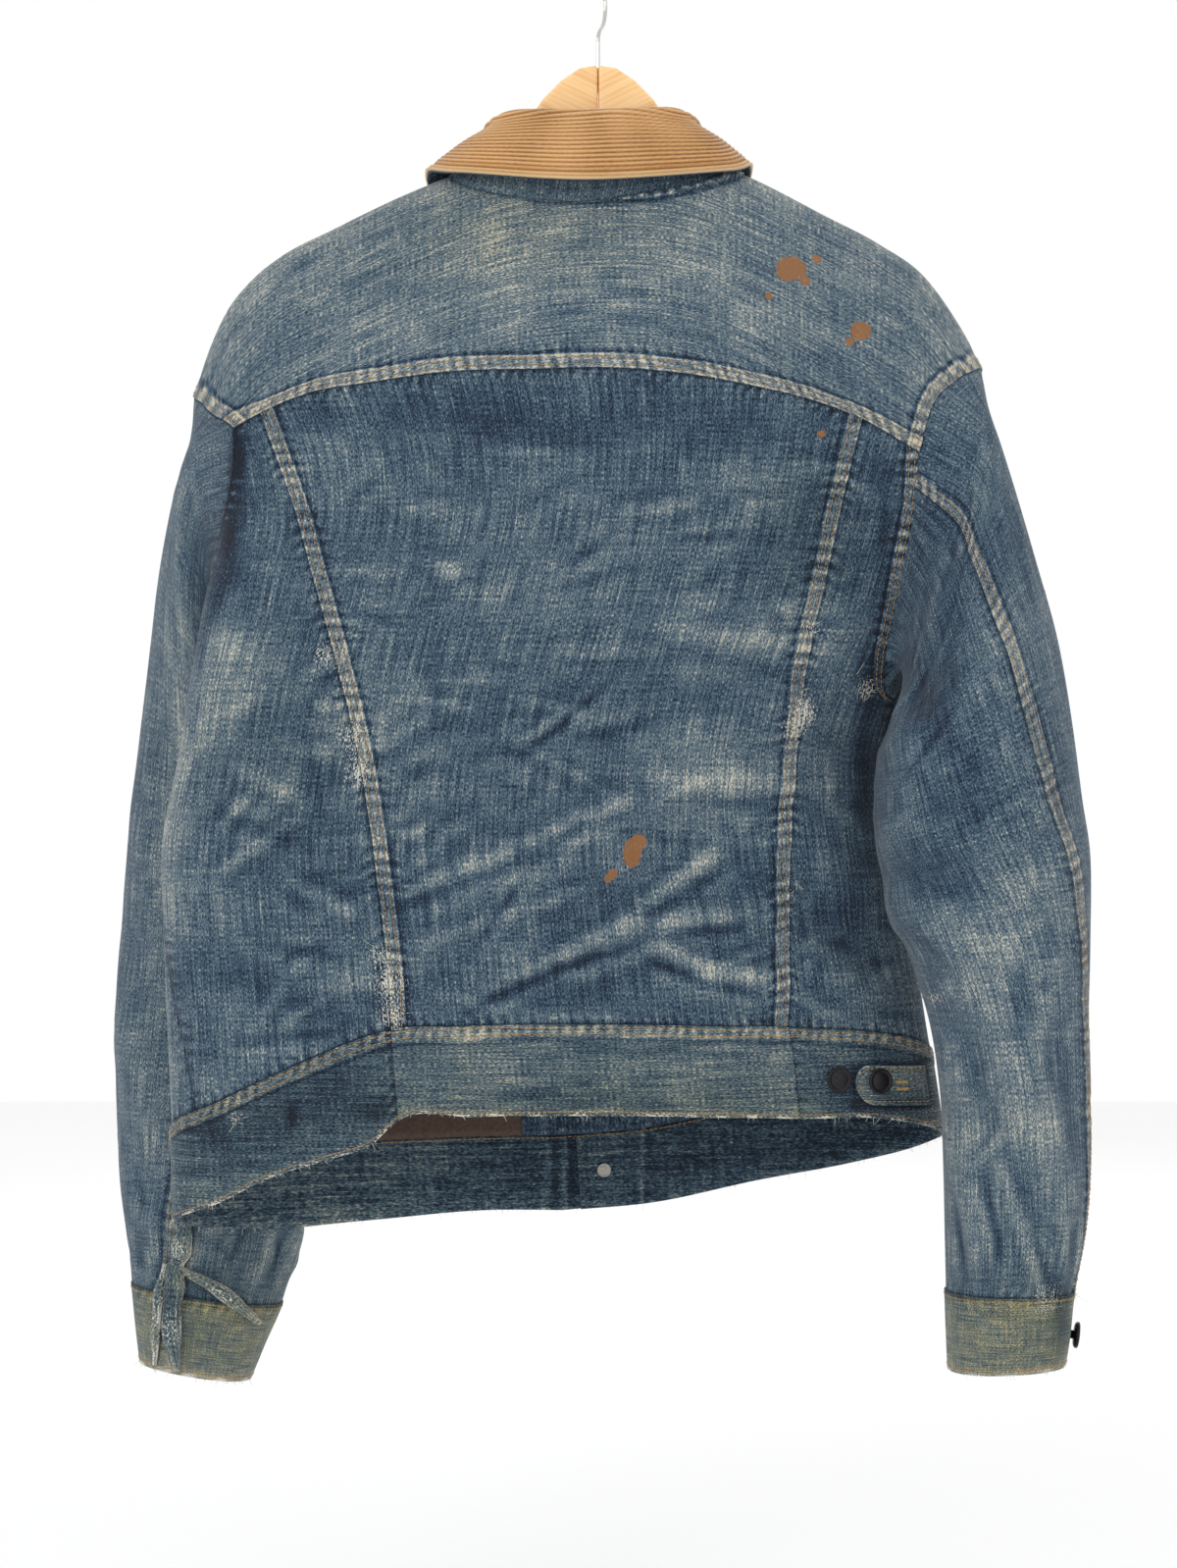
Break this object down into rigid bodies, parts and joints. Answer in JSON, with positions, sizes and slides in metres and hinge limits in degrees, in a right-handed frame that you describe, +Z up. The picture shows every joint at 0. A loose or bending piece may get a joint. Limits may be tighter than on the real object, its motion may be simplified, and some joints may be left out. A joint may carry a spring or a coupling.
{
  "type": "denim jacket on wooden hanger",
  "caption": "Waist-length denim jacket with corduroy collar, buttoned and hanging on a wooden hanger with a wire hook, seen from the back.",
  "frame": {"origin": "inside top of the hanger's hook, where it hangs from a rail", "axes": "+Z up; -Y is where the back of the jacket faces, towards the camera of the picture; +X is the wearer's right, the right of the picture"},
  "size_m": [0.6439, 0.1972, 0.9354],
  "materials": {
    "denim": "worn twill, matte",
    "denim_dark": "twill inside out, little worn",
    "denim_light": "twill rubbed pale",
    "corduroy": "fine corduroy, matte",
    "lining": "plain cotton",
    "wood": "clear satin varnish",
    "steel": "bright wire",
    "button": "dark, rubbed at the rim"
  },
  "bodies": {
    "root": {"yoke_back": "denim", "back_centre": "denim", "back_side_left": "denim", "back_side_right": "denim", "front_left": "denim", "front_right": "denim", "placket_left": "denim", "placket_right": "denim", "lining_left": "lining", "waistband_back": "denim_light", "waistband_left": "denim_dark", "waistband_right": "denim_light", "tab_right": "denim_light", "collar_under": "denim", "collar_top": "corduroy", "sleeve_top_left": "denim", "sleeve_under_left": "denim", "sleeve_top_right": "denim", "sleeve_under_right": "denim", "cuff_left": "denim_light", "cuff_right": "denim_light", "tab_button_a": "button", "tab_button_b": "button", "waist_snap": "button", "front_button_1": "button", "front_button_2": "button", "front_button_3": "button", "front_button_4": "button", "front_button_5": "button", "cuff_button_right": "button", "hanger_left": "wood", "hanger_right": "wood", "hanger_hook": "steel"}
  },
  "joints": []
}
